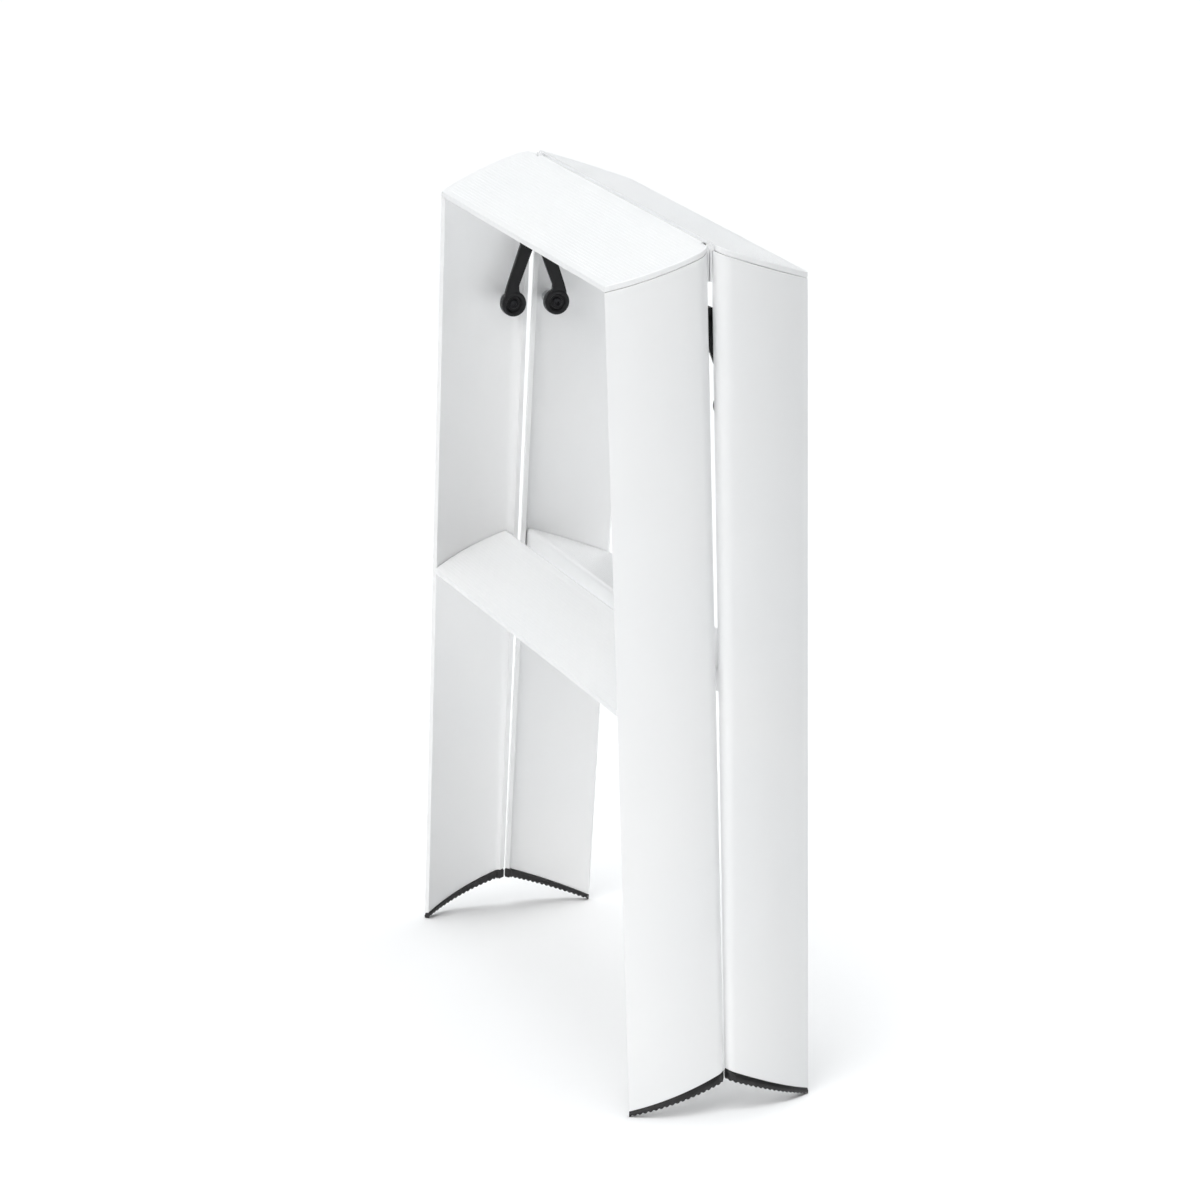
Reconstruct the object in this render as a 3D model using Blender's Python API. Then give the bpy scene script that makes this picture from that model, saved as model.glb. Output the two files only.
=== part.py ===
"""Two-step folding step stool in painted aluminium, modelled folded.

Two mirrored frames hang from one hinge along the ridge.  Each frame is half of the
top tread, two splayed legs and one lower step; its tread, step and leg ends all
slope by TILT while folded and come level when both frames swing out by TILT.
Two pairs of stay arms straighten under the top to hold the stool open.

X runs across the treads, Y through the fold and +Z up.  The origin is on the floor
below the hinge.  All lengths are in metres.
"""
from math import asin, atan2, cos, pi, radians, sin, sqrt, tan

import bmesh
import bpy
from mathutils import Vector

# Driving dimensions
HEIGHT = 0.600             # ridge edge of the treads above the floor, folded
TILT = radians(19.0)       # slope of treads, steps and leg ends, folded
RIDGE_HALF_WIDTH = 0.1614  # outer leg edges from the middle, at ridge height
FOOT_HALF_WIDTH = 0.2145   # the same on the floor
RIDGE_DEPTH = 0.0742       # outer leg edges from the fold plane, at ridge height
FOOT_DEPTH = 0.0672        # the same on the floor
RIDGE_GAP = 0.0022         # joint edges from the fold plane, at ridge height
FOOT_GAP = 0.0004          # the same on the floor
TREAD_GAP = 0.0036         # ridge edges of the treads from the fold plane
STEP_RISE = 0.3085         # top of the lower step, measured where it meets the joint edge

# Plates and profiles
LEG_RADIUS = 0.094         # the legs bulge outwards on this radius
EDGE_TURN = radians(34.0)  # slope of the leg surface at its outer edge
RIDGE_CORNER = 0.0120      # radius of the leg's corner along its joint edge, at the ridge
FOOT_CORNER = 0.0065       # the same on the floor
LEG_PLATE = 0.0036
TREAD_PLATE = 0.0040
STEP_LIP = 0.018           # downturned inner edge of the step
STEP_INNER = 0.0072        # inner edge of the step from the fold plane
STEP_CUTS = 10             # facets across the step, from outer to inner edge
SOLE = 0.0038              # rubber thickness under the leg ends, at the outer edge
SOLE_GAIN = 0.054          # the sole thickens towards the joint
FOOT_INNER = 0.0012        # and on its inner face
TOOTH = 0.0009
TEETH = 17
FIT = 0.0003               # gap left between touching pieces

# Hinge along the ridge
PIN_DROP = 0.0037
PIN_RADIUS = 0.0015
KNUCKLE_RADIUS = 0.0032
HINGE_HALF = 0.156
KNUCKLES = 7
LEAF = 0.0014
LUG_START = 0.1582
LUG_RISE = 0.0030
LEAF_HALF = 0.1680         # the leaves reach out between the legs, past the knuckles
LEAF_DROP = 0.0255
LEAF_GAP = 0.0004
LEAF_FLANGE = 0.0205
LEAF_GUSSET = 0.0035       # width of the fillet between leaf and flange
KNUCKLE_NECK = 0.0065      # the neck reaches this far below the pin
HINGE_SCREWS_X = (-0.095, 0.095)
HINGE_SCREWS_Y = 0.0135
PIN_HEAD = 0.0012
PIN_HEAD_RADIUS = 0.0025

# Corner brackets under the treads and steps
BRACKET_PLATE = 0.0028
BRACKET_LEG = 0.018
BRACKET_Y = (0.026, 0.034, 0.042)
LEG_SCREW_DROP = 0.0085    # screws from the inner corner of the bracket
PLATE_SCREW_INSET = 0.0110

# Pan-head screws, as (radius, distance) from the seat down the shank
SCREW_PROFILE = ((0.0022, -0.0021), (0.0036, -0.0013), (0.0036, 0.0), (0.0018, 0.0),
                 (0.0018, 0.0048))
SCREW_BORE = 0.0021
SCREW_REACH = (-0.0010, 0.0052)

# Stay arms
PIVOT_Y = 0.0162
PIVOT_Z = 0.4875
CENTRE_Z = 0.5495          # centre joint of each pair, folded
ARM_PLATE = 0.0034
FRONT_ARM_X = 0.1685       # outboard face of the arms on the front frame
BOSS_RADIUS = 0.0094
BOSS_DEPTH = 0.0029        # the boss stands out past the arm towards the leg
EYE_RADIUS = 0.0078
ARM_OFFSET = 0.0044        # the arm runs past its pivot on the outer side
ARM_HALF_WIDTH = 0.0046    # at the pivot
ARM_TOP_WIDTH = 0.0050     # half width at the centre joint
SHOULDER = (0.0205, 0.0170)  # the arm steps wider this far from the centre joint
SHOULDER_WIDTH = 0.0064
CUP_RADIUS = 0.0058
CUP_DEPTH = 0.0016
SPACER_RADIUS = 0.0046
BOLT_RADIUS = 0.0028
BOLT_BORE = 0.0031
BOLT_INTO_LEG = 0.0018
RIVET_RADIUS = 0.0026
RIVET_HEAD = 0.0048
BOLT_HEAD = 0.0036

SLOPE = tan(TILT)
PIN_Z = HEIGHT - PIN_DROP
ARC_STEPS = 14
CORNER_STEPS = 5
ROUND_STEPS = 24
SMALL_STEPS = 12


def finish(name, colour, roughness, metallic=0.0):
    material = bpy.data.materials.new(name)
    material.use_nodes = True
    shader = material.node_tree.nodes["Principled BSDF"]
    shader.inputs["Base Color"].default_value = (*colour, 1.0)
    shader.inputs["Roughness"].default_value = roughness
    shader.inputs["Metallic"].default_value = metallic
    material.diffuse_color = (*colour, 1.0)
    return material


def clear_scene():
    for item in list(bpy.data.objects):
        bpy.data.objects.remove(item, do_unlink=True)


# Bodies: an empty on each joint axis carries the pieces that move together


def add_body(name, origin, parent=None):
    body = bpy.data.objects.new(name, None)
    bpy.context.scene.collection.objects.link(body)
    body.empty_display_size = 0.02
    body["origin"] = tuple(origin)
    body.location = origin
    if parent is not None:
        body.parent = parent
        body.location = Vector(origin) - Vector(parent["origin"])
    return body


def add_piece(name, points, faces, body, material):
    """One closed mesh from points in world space, carried by its body's empty."""
    origin = Vector(body["origin"])
    mesh = bpy.data.meshes.new(name)
    mesh.from_pydata([Vector(point) - origin for point in points], [], faces)
    builder = bmesh.new()
    builder.from_mesh(mesh)
    bmesh.ops.recalc_face_normals(builder, faces=builder.faces)
    builder.to_mesh(mesh)
    builder.free()
    mesh.shade_smooth()
    mesh.set_sharp_from_angle(angle=radians(35))
    mesh.materials.append(material)
    piece = bpy.data.objects.new(name, mesh)
    bpy.context.scene.collection.objects.link(piece)
    piece.parent = body
    return piece


# Shapes


def shell(outside, inside):
    """A solid between two grids of points of the same size (rows by columns)."""
    rows, columns = len(outside), len(outside[0])
    points = [point for row in outside + inside for point in row]
    inner = rows * columns
    faces = []
    for row in range(rows - 1):
        for column in range(columns - 1):
            at = row * columns + column
            quad = (at, at + 1, at + columns + 1, at + columns)
            faces.append(quad)
            faces.append(tuple(inner + index for index in reversed(quad)))
    for row in (0, rows - 1):
        for column in range(columns - 1):
            at = row * columns + column
            faces.append((at, at + 1, inner + at + 1, inner + at))
    for column in (0, columns - 1):
        for row in range(rows - 1):
            at = row * columns + column
            faces.append((at, at + columns, inner + at + columns, inner + at))
    return points, faces


def prism(outline, x_from, x_to):
    """A flat outline of (y, z) points drawn out along X."""
    count = len(outline)
    points = [(x, y, z) for x in (x_from, x_to) for y, z in outline]
    faces = [tuple(range(count)), tuple(reversed(range(count, 2 * count)))]
    for index in range(count):
        after = (index + 1) % count
        faces.append((index, after, count + after, count + index))
    return points, faces


def turned(profile, base, axis, steps=ROUND_STEPS):
    """A solid of revolution from (radius, distance) points along an axis."""
    axis = Vector(axis).normalized()
    across = axis.orthogonal().normalized()
    other = axis.cross(across)
    base = Vector(base)
    points = []
    for radius, distance in profile:
        for index in range(steps):
            turn = 2 * pi * index / steps
            spoke = across * cos(turn) + other * sin(turn)
            points.append(base + axis * distance + spoke * radius)
    last = len(profile) - 1
    faces = [tuple(range(steps)), tuple(last * steps + i for i in range(steps))]
    for ring in range(last):
        for index in range(steps):
            after = (index + 1) % steps
            low, high = ring * steps, (ring + 1) * steps
            faces.append((low + index, low + after, high + after, high + index))
    return points, faces


def add_cutter(name, points, faces, body):
    cutter = add_piece(name, points, faces, body, CUTTER_FINISH)
    cutter.hide_render = True
    cutter.display_type = "WIRE"
    return cutter


def boolean(piece, cutter, operation):
    modifier = piece.modifiers.new(cutter.name, "BOOLEAN")
    modifier.operation = operation
    modifier.object = cutter
    modifier.solver = "EXACT"


def bore(targets, base, axis, radius, span, body, steps=ROUND_STEPS):
    """Cut one round hole, over a span of distances along the axis, in each target."""
    points, faces = turned([(radius, distance) for distance in span], base, axis, steps)
    cutter = add_cutter("bore_" + targets[0].name, points, faces, body)
    for target in targets:
        boolean(target, cutter, "DIFFERENCE")


# The leg surface, which every other piece of a frame is fitted to


def leg_arc(level, inset):
    """Centre and radius of the leg's arc, at a level from floor (0) to ridge (1)."""
    half_width = FOOT_HALF_WIDTH + (RIDGE_HALF_WIDTH - FOOT_HALF_WIDTH) * level
    depth = FOOT_DEPTH + (RIDGE_DEPTH - FOOT_DEPTH) * level
    centre_x = half_width - LEG_RADIUS * cos(EDGE_TURN)
    centre_y = depth - LEG_RADIUS * sin(EDGE_TURN)
    return centre_x, centre_y, LEG_RADIUS - inset


def joint_corner(level):
    """Centre, radius and first turn of the rounded corner along the joint edge."""
    centre_x, centre_y, radius = leg_arc(level, 0.0)
    gap = FOOT_GAP + (RIDGE_GAP - FOOT_GAP) * level
    small = FOOT_CORNER + (RIDGE_CORNER - FOOT_CORNER) * level
    reach = radius - small
    turn = asin((gap + small - centre_y) / reach)
    return centre_x + reach * cos(turn), centre_y + reach * sin(turn), small, turn


def contour(level, inset, arc_steps=ARC_STEPS):
    """Points (x, y) round the leg section, from its outer edge to its joint edge."""
    centre_x, centre_y, radius = leg_arc(level, inset)
    corner_x, corner_y, small, corner_turn = joint_corner(level)
    points = []
    for step in range(arc_steps + 1):
        turn = EDGE_TURN + (corner_turn - EDGE_TURN) * step / arc_steps
        points.append((centre_x + radius * cos(turn), centre_y + radius * sin(turn)))
    for step in range(1, CORNER_STEPS + 1):
        turn = corner_turn + (-pi / 2 - corner_turn) * step / CORNER_STEPS
        points.append((corner_x + (small - inset) * cos(turn),
                       corner_y + (small - inset) * sin(turn)))
    return points


def leg_x(y, z, inset):
    """Half width of the leg surface at a distance y from the fold plane."""
    level = z / HEIGHT
    centre_x, centre_y, radius = leg_arc(level, inset)
    corner_x, corner_y, small, _ = joint_corner(level)
    if y >= corner_y:
        return centre_x + sqrt(radius ** 2 - (y - centre_y) ** 2)
    return corner_x + sqrt(max((small - inset) ** 2 - (y - corner_y) ** 2, 0.0))


def slope_z(height, y):
    """A plane that drops outwards by TILT; height is its own at the ridge edge."""
    return height - (y - TREAD_GAP) * SLOPE


def cut_by_slope(inset, heights, arc_steps=ARC_STEPS):
    """The contour's lines from floor to ridge, each cut at its height on the slope."""
    points = []
    low, high = contour(0.0, inset, arc_steps), contour(1.0, inset, arc_steps)
    for (x0, y0), (x1, y1), height in zip(low, high, heights):
        level = slope_z(height, y0) / (HEIGHT + (y1 - y0) * SLOPE)
        points.append((x0 + (x1 - x0) * level, y0 + (y1 - y0) * level, HEIGHT * level))
    return points


def level_cut(inset, height):
    return cut_by_slope(inset, [height] * (ARC_STEPS + CORNER_STEPS + 1))


def turn_to(grid, side, end):
    """Mirror a grid of points to one side (+1 right) and one end (+1 rear)."""
    return [[(x * side, y * end, z) for x, y, z in row] for row in grid]


FLOOR_HEIGHT = (FOOT_DEPTH - TREAD_GAP) * SLOPE
LEG_BOTTOM = FLOOR_HEIGHT + SOLE / cos(TILT)
TREAD_UNDERSIDE = HEIGHT - TREAD_PLATE / cos(TILT)
STEP_UNDERSIDE = STEP_RISE - TREAD_PLATE / cos(TILT)


def add_tread(name, end, body):
    """Half of the top: a plate whose ends continue the outer faces of the legs."""
    grids = []
    for height in (HEIGHT, TREAD_UNDERSIDE):
        row = [point for point in level_cut(0.0, height) if point[1] > TREAD_GAP + FIT]
        row.append((leg_x(TREAD_GAP, height, 0.0), TREAD_GAP, height))
        grids.append(turn_to([row], -1, end) + turn_to([row], 1, end))
    return add_piece(name, *shell(*grids), body, WHITE_PAINT)


def leg_end(inset, lift, arc_steps=ARC_STEPS):
    """The end of a leg, cut steeper than the floor so that the sole thickens inwards."""
    heights = [LEG_BOTTOM + lift + (FOOT_DEPTH - y) * SOLE_GAIN
               for _, y in contour(0.0, inset, arc_steps)]
    return cut_by_slope(inset, heights, arc_steps)


def add_leg(name, side, end, body):
    """A splayed plate, arched outwards, with a rounded corner along the joint."""
    grids = []
    for inset in (0.0, LEG_PLATE):
        rows = [leg_end(inset, 0.0), level_cut(inset, TREAD_UNDERSIDE - FIT)]
        grids.append(turn_to(rows, side, end))
    return add_piece(name, *shell(*grids), body, WHITE_PAINT)


def add_foot(name, side, end, body):
    """Rubber sole along the end of a leg, with teeth across its underside."""
    arc_steps = 4 * TEETH
    count = arc_steps + CORNER_STEPS + 1
    pattern = (0.0, 0.0, TOOTH, TOOTH)
    sole = [FLOOR_HEIGHT + pattern[index % 4] for index in range(count)]
    grids = []
    for inset in (0.0, LEG_PLATE + FOOT_INNER):
        rows = [cut_by_slope(inset, sole, arc_steps), leg_end(inset, -FIT, arc_steps)]
        grids.append(turn_to(rows, side, end))
    return add_piece(name, *shell(*grids), body, BLACK_RUBBER)


def add_step(name, end, body):
    """Lower step between the legs, its inner edge turned down as a stiffening lip."""
    outer = FOOT_DEPTH + (RIDGE_DEPTH - FOOT_DEPTH) * STEP_RISE / HEIGHT - 0.001
    corner = STEP_INNER + TREAD_PLATE
    lip_foot = slope_z(STEP_RISE, STEP_INNER) - STEP_LIP
    grids = []
    for inner, height in ((STEP_INNER, STEP_RISE), (corner, STEP_UNDERSIDE)):
        across = [outer + (inner - outer) * cut / STEP_CUTS for cut in range(STEP_CUTS + 1)]
        profile = [(y, slope_z(height, y)) for y in across] + [(inner, lip_foot)]
        row = [(leg_x(y, z, LEG_PLATE + FIT), y, z) for y, z in profile]
        grids.append(turn_to([row], -1, end) + turn_to([row], 1, end))
    return add_piece(name, *shell(*grids), body, WHITE_PAINT)


# Corner brackets with one screw into the leg and one into the plate above


def bracket_grid(height, thickness):
    """Rows along Y of the bracket's profile, hugging the leg and the plate above."""
    rows = []
    for y in BRACKET_Y:
        roof = slope_z(height, y) - FIT - thickness
        foot = slope_z(height, y) - BRACKET_LEG
        inset = LEG_PLATE + FIT + thickness
        tip = leg_x(y, roof, LEG_PLATE) - BRACKET_LEG
        rows.append([(leg_x(y, foot, inset), y, foot), (leg_x(y, roof, inset), y, roof),
                     (tip, y, roof)])
    return rows


def leg_normal(y, side, end):
    """Outward direction of the leg surface; the splay tips it upwards."""
    centre_y, radius = leg_arc(0.5, 0.0)[1:]
    turn = asin((y - centre_y) / radius)
    splay = atan2(FOOT_HALF_WIDTH - RIDGE_HALF_WIDTH, HEIGHT)
    return Vector((cos(turn) * cos(splay) * side, sin(turn) * cos(splay) * end, sin(splay)))


def add_screw(name, seat, axis, targets, body):
    """Screw seated at a point, its shank along the axis, in a hole through the targets."""
    add_piece(name, *turned(SCREW_PROFILE, seat, axis, SMALL_STEPS), body, STEEL)
    bore(targets, seat, axis, SCREW_BORE, SCREW_REACH, body, SMALL_STEPS)


def plate_normal(end):
    """Upward normal of the treads and steps."""
    return Vector((0.0, sin(TILT) * end, cos(TILT)))


def add_bracket(name, side, end, height, leg, plate, body):
    grids = [turn_to(bracket_grid(height, 0.0), side, end),
             turn_to(bracket_grid(height, BRACKET_PLATE), side, end)]
    bracket = add_piece(name, *shell(*grids), body, BARE_ALUMINIUM)
    middle = BRACKET_Y[1]
    roof = slope_z(height, middle) - FIT - BRACKET_PLATE
    low = roof - LEG_SCREW_DROP
    outwards = leg_normal(middle, side, end)
    wall = leg_x(middle, low, LEG_PLATE + FIT + BRACKET_PLATE)
    seat = Vector((wall * side, middle * end, low)) - outwards * FIT
    add_screw(name + "_leg_screw", seat, outwards, [bracket, leg], body)
    upwards = plate_normal(end)
    roof_x = leg_x(middle, roof, LEG_PLATE) - PLATE_SCREW_INSET
    seat = Vector((roof_x * side, middle * end, roof)) - upwards * FIT
    add_screw(name + "_plate_screw", seat, upwards, [bracket, plate], body)


# Ridge hinge


def knuckle_spans(end):
    """X spans of the knuckles that belong to one leaf; the leaves alternate."""
    pitch = 2 * HINGE_HALF / KNUCKLES
    first = 0 if end < 0 else 1
    spans = []
    for index in range(first, KNUCKLES, 2):
        start = -HINGE_HALF + pitch * index
        spans.append((start + FIT / 2, start + pitch - FIT / 2))
    return spans


def leaf_outline(end):
    """The leaf hangs in the gap; its flange lies under the tread."""
    outer = LEAF_GAP + LEAF
    roof = TREAD_UNDERSIDE - FIT
    under = roof - LEAF / cos(TILT)
    gusset = outer + LEAF_GUSSET
    outline = [(LEAF_GAP, HEIGHT - LEAF_DROP), (outer, HEIGHT - LEAF_DROP),
               (outer, slope_z(under, gusset) - 0.0018), (gusset, slope_z(under, gusset)),
               (LEAF_FLANGE, slope_z(under, LEAF_FLANGE)),
               (LEAF_FLANGE, slope_z(roof, LEAF_FLANGE)),
               (TREAD_GAP, slope_z(roof, TREAD_GAP)),
               (outer, PIN_Z - 0.0031), (LEAF_GAP, PIN_Z - 0.0039)]
    return [(y * end, z) for y, z in outline]


def lug_outline(end):
    """End lug that fills the gap; its inner face leans back to clear the other one."""
    outer, edge = LEAF_GAP + LEAF - 0.00005, TREAD_GAP - FIT
    top = PIN_Z + LUG_RISE
    inner = LEAF_GAP + LUG_RISE * tan(TILT) + 0.0001
    outline = [(LEAF_GAP + 0.00005, PIN_Z - 0.006), (outer, PIN_Z - 0.006),
               (outer, PIN_Z - 0.0004), (edge, PIN_Z - 0.0001), (edge, top), (inner, top),
               (LEAF_GAP + 0.00005, PIN_Z)]
    return [(y * end, z) for y, z in outline]


def knuckle_outline(end):
    """Round knuckle with the neck that joins it to its leaf."""
    neck_in, neck_out = LEAF_GAP + 0.00005, LEAF_GAP + LEAF - 0.00005
    start = asin(neck_out / KNUCKLE_RADIUS)
    stop = 2 * pi + asin(neck_in / KNUCKLE_RADIUS)
    outline = []
    for step in range(ROUND_STEPS + 1):
        turn = -pi / 2 + start + (stop - start) * step / ROUND_STEPS
        outline.append((KNUCKLE_RADIUS * cos(turn), PIN_Z + KNUCKLE_RADIUS * sin(turn)))
    outline.append((neck_in, PIN_Z - KNUCKLE_NECK))
    outline.append((neck_out, PIN_Z - KNUCKLE_NECK))
    return [(y * end, z) for y, z in outline]


def add_hinge_leaf(name, end, tread, body):
    leaf = add_piece(name, *prism(leaf_outline(end), -HINGE_HALF, HINGE_HALF), body,
                     WHITE_PAINT)
    inner, outer = LEAF_GAP + 0.00005, LEAF_GAP + LEAF - 0.00005
    low, high = HEIGHT - LEAF_DROP + 0.00005, PIN_Z - 0.0045
    wide = [(inner * end, low), (outer * end, low), (outer * end, high), (inner * end, high)]
    points, faces = prism(wide, -LEAF_HALF, LEAF_HALF)
    boolean(leaf, add_cutter(name + "_ends", points, faces, body), "UNION")
    for label, hand in (("left", -1), ("right", 1)):
        points, faces = prism(lug_outline(end), LUG_START * hand, LEAF_HALF * hand)
        boolean(leaf, add_cutter(f"{name}_{label}_lug", points, faces, body), "UNION")
    for index, (x_from, x_to) in enumerate(knuckle_spans(end)):
        points, faces = prism(knuckle_outline(end), x_from, x_to)
        boolean(leaf, add_cutter(f"{name}_knuckle_{index}", points, faces, body), "UNION")
    ends = (-0.001, 2 * HINGE_HALF + 0.001)
    bore([leaf], (-HINGE_HALF, 0.0, PIN_Z), (1, 0, 0), PIN_RADIUS + 0.0002, ends, body)
    upwards = plate_normal(end)
    roof = slope_z(TREAD_UNDERSIDE - FIT - LEAF / cos(TILT), HINGE_SCREWS_Y)
    for number, x in enumerate(HINGE_SCREWS_X, start=1):
        seat = Vector((x, HINGE_SCREWS_Y * end, roof)) - upwards * FIT
        add_screw(f"{name}_screw_{number}", seat, upwards, [leaf, tread], body)


def add_hinge_pin(body):
    reach = HINGE_HALF + 2 * FIT
    far = 2 * reach
    rim = PIN_HEAD_RADIUS - 0.0005
    profile = ((rim, -PIN_HEAD), (PIN_HEAD_RADIUS, -PIN_HEAD / 2), (PIN_HEAD_RADIUS, 0.0),
               (PIN_RADIUS, 0.0), (PIN_RADIUS, far), (PIN_HEAD_RADIUS, far),
               (PIN_HEAD_RADIUS, far + PIN_HEAD / 2), (rim, far + PIN_HEAD))
    points, faces = turned(profile, (-reach, 0.0, PIN_Z), (1, 0, 0), SMALL_STEPS)
    add_piece("hinge_pin", points, faces, body, STEEL)


# Stay arms


def arm_outline(end):
    """Arm from its boss, which it runs past on the outer side, to the centre joint."""
    lift = CENTRE_Z - PIVOT_Z
    length = sqrt(lift ** 2 + PIVOT_Y ** 2)
    along = Vector((-PIVOT_Y, lift)) / length
    outwards = Vector((along.y, -along.x))
    points = []
    for step in range(ROUND_STEPS - 4):
        turn = radians(78.0 + 262.0 * step / (ROUND_STEPS - 5))
        points.append((BOSS_RADIUS * cos(turn), BOSS_RADIUS * sin(turn)))
    points += [(0.0098, -0.0019), (0.0118, -0.0009), (0.0143, ARM_OFFSET - ARM_HALF_WIDTH)]
    lean = ARM_OFFSET * SHOULDER[0] / length
    points.append((length - SHOULDER[0], lean - ARM_TOP_WIDTH))
    points.append((length - SHOULDER[1], lean - SHOULDER_WIDTH))
    opening = asin(SHOULDER_WIDTH / EYE_RADIUS)
    for step in range(ROUND_STEPS - 7):
        turn = opening - pi + 2 * (pi - opening) * step / (ROUND_STEPS - 8)
        points.append((length + EYE_RADIUS * cos(turn), EYE_RADIUS * sin(turn)))
    points.append((length - SHOULDER[1], lean + SHOULDER_WIDTH))
    points.append((length - SHOULDER[0], lean + ARM_TOP_WIDTH))
    outline = []
    for distance, offset in points:
        spot = Vector((PIVOT_Y, PIVOT_Z)) + along * distance + outwards * offset
        outline.append((spot.x * end, spot.y))
    return outline


def add_spacer(name, side, end, face_x, body):
    """Tube between an arm's boss and the leg, its outboard end cut to the leg's surface."""
    steps = ROUND_STEPS
    rings = []
    for radius, at_leg in ((BOLT_BORE, True), (SPACER_RADIUS, True),
                           (SPACER_RADIUS, False), (BOLT_BORE, False)):
        ring = []
        for index in range(steps):
            turn = 2 * pi * index / steps
            y = PIVOT_Y + radius * cos(turn)
            z = PIVOT_Z + radius * sin(turn)
            x = leg_x(y, z, LEG_PLATE + FIT) if at_leg else face_x + FIT
            ring.append((x * side, y * end, z))
        rings.append(ring)
    points = [point for ring in rings for point in ring]
    faces = []
    for ring in range(4):
        low, high = ring * steps, (ring + 1) % 4 * steps
        for index in range(steps):
            after = (index + 1) % steps
            faces.append((low + index, low + after, high + after, high + index))
    add_piece(name, points, faces, body, BARE_ALUMINIUM)


def add_arm(name, side, end, leg, frame_body):
    """One stay arm with its spacer, pivot bolt and its own half of the centre rivet."""
    outboard = FRONT_ARM_X if end < 0 else FRONT_ARM_X - ARM_PLATE - FIT
    inboard = outboard - ARM_PLATE
    pivot = Vector((outboard * side, PIVOT_Y * end, PIVOT_Z))
    body = add_body(name + "_body", pivot, frame_body)
    arm = add_piece(name, *prism(arm_outline(end), outboard * side, inboard * side), body,
                    BLACK_NYLON)
    out = Vector((side, 0, 0))
    face = Vector((inboard * side, PIVOT_Y * end, PIVOT_Z))
    boss_end = ARM_PLATE + BOSS_DEPTH
    boss = ((BOSS_RADIUS - 0.00005, ARM_PLATE - 0.0005), (BOSS_RADIUS - 0.00005, boss_end))
    boolean(arm, add_cutter(name + "_boss", *turned(boss, face, out), body), "UNION")
    bore([arm], face, out, CUP_RADIUS, (-0.001, CUP_DEPTH), body)
    bore([arm], face, out, BOLT_BORE, (0.0, boss_end + 0.001), body)
    centre = Vector((inboard * side, 0.0, CENTRE_Z))
    bore([arm], centre, out, RIVET_RADIUS + 0.0002, (-0.001, ARM_PLATE + 0.001), body)
    add_spacer(name + "_spacer", side, end, inboard + boss_end, frame_body)
    wall = leg_x(PIVOT_Y, PIVOT_Z, LEG_PLATE)
    hole_at = (wall * side, PIVOT_Y * end, PIVOT_Z)
    bore([leg], hole_at, out, BOLT_BORE, (-0.004, BOLT_INTO_LEG + 2 * FIT), frame_body)
    reach = wall + BOLT_INTO_LEG - inboard
    seat = CUP_DEPTH - FIT
    bolt = ((BOLT_HEAD - 0.0006, 0.0001), (BOLT_HEAD, 0.0006), (BOLT_HEAD, seat),
            (BOLT_RADIUS, seat), (BOLT_RADIUS, reach))
    add_piece(name + "_bolt", *turned(bolt, face, out), frame_body, STEEL)
    rivet = ((RIVET_RADIUS, 0.0), (RIVET_RADIUS, ARM_PLATE))
    if end > 0:
        rivet = ((RIVET_HEAD * 0.7, -0.0012), (RIVET_HEAD, -0.0006), (RIVET_HEAD, -FIT),
                 (RIVET_RADIUS, -FIT), (RIVET_RADIUS, ARM_PLATE))
    add_piece(name + "_rivet", *turned(rivet, centre, out, SMALL_STEPS), body, STEEL)


def add_frame(place, end, body):
    """One half of the stool: tread, legs, step, feet, brackets and hinge leaf."""
    tread = add_tread(place + "_tread", end, body)
    step = add_step(place + "_step", end, body)
    legs = {}
    for hand, side in (("left", -1), ("right", 1)):
        leg = add_leg(f"{place}_{hand}_leg", side, end, body)
        legs[side] = leg
        add_foot(f"{place}_{hand}_foot", side, end, body)
        for plate, label, height in ((tread, "tread", TREAD_UNDERSIDE),
                                     (step, "step", STEP_UNDERSIDE)):
            add_bracket(f"{place}_{hand}_{label}_bracket", side, end, height, leg, plate, body)
    add_hinge_leaf(place + "_hinge_leaf", end, tread, body)
    return legs


clear_scene()
WHITE_PAINT = finish("white_paint", (0.86, 0.86, 0.85), 0.35)
BLACK_NYLON = finish("black_nylon", (0.018, 0.018, 0.020), 0.42)
BLACK_RUBBER = finish("black_rubber", (0.035, 0.033, 0.035), 0.75)
BARE_ALUMINIUM = finish("bare_aluminium", (0.62, 0.63, 0.64), 0.40, 1.0)
STEEL = finish("steel", (0.20, 0.20, 0.21), 0.32, 1.0)
CUTTER_FINISH = finish("cutter", (0.8, 0.3, 0.2), 0.5)

front_body = add_body("front_frame_body", (0.0, 0.0, PIN_Z))
rear_body = add_body("rear_frame_body", (0.0, 0.0, PIN_Z), front_body)
add_hinge_pin(front_body)
for place, end, frame_body in (("front", -1, front_body), ("rear", 1, rear_body)):
    frame_legs = add_frame(place, end, frame_body)
    for hand, side in (("left", -1), ("right", 1)):
        add_arm(f"{hand}_{place}_arm", side, end, frame_legs[side], frame_body)
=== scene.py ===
"""Folding step stool: fine meshes, finishes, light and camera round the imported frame.

Front is -Y, rear is +Y, left is -X and right is +X.  All lengths are in metres.
"""
from math import asin, atan2, cos, pi, radians, sin, sqrt, tan

import bmesh
import bpy
from mathutils import Matrix, Vector


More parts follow.
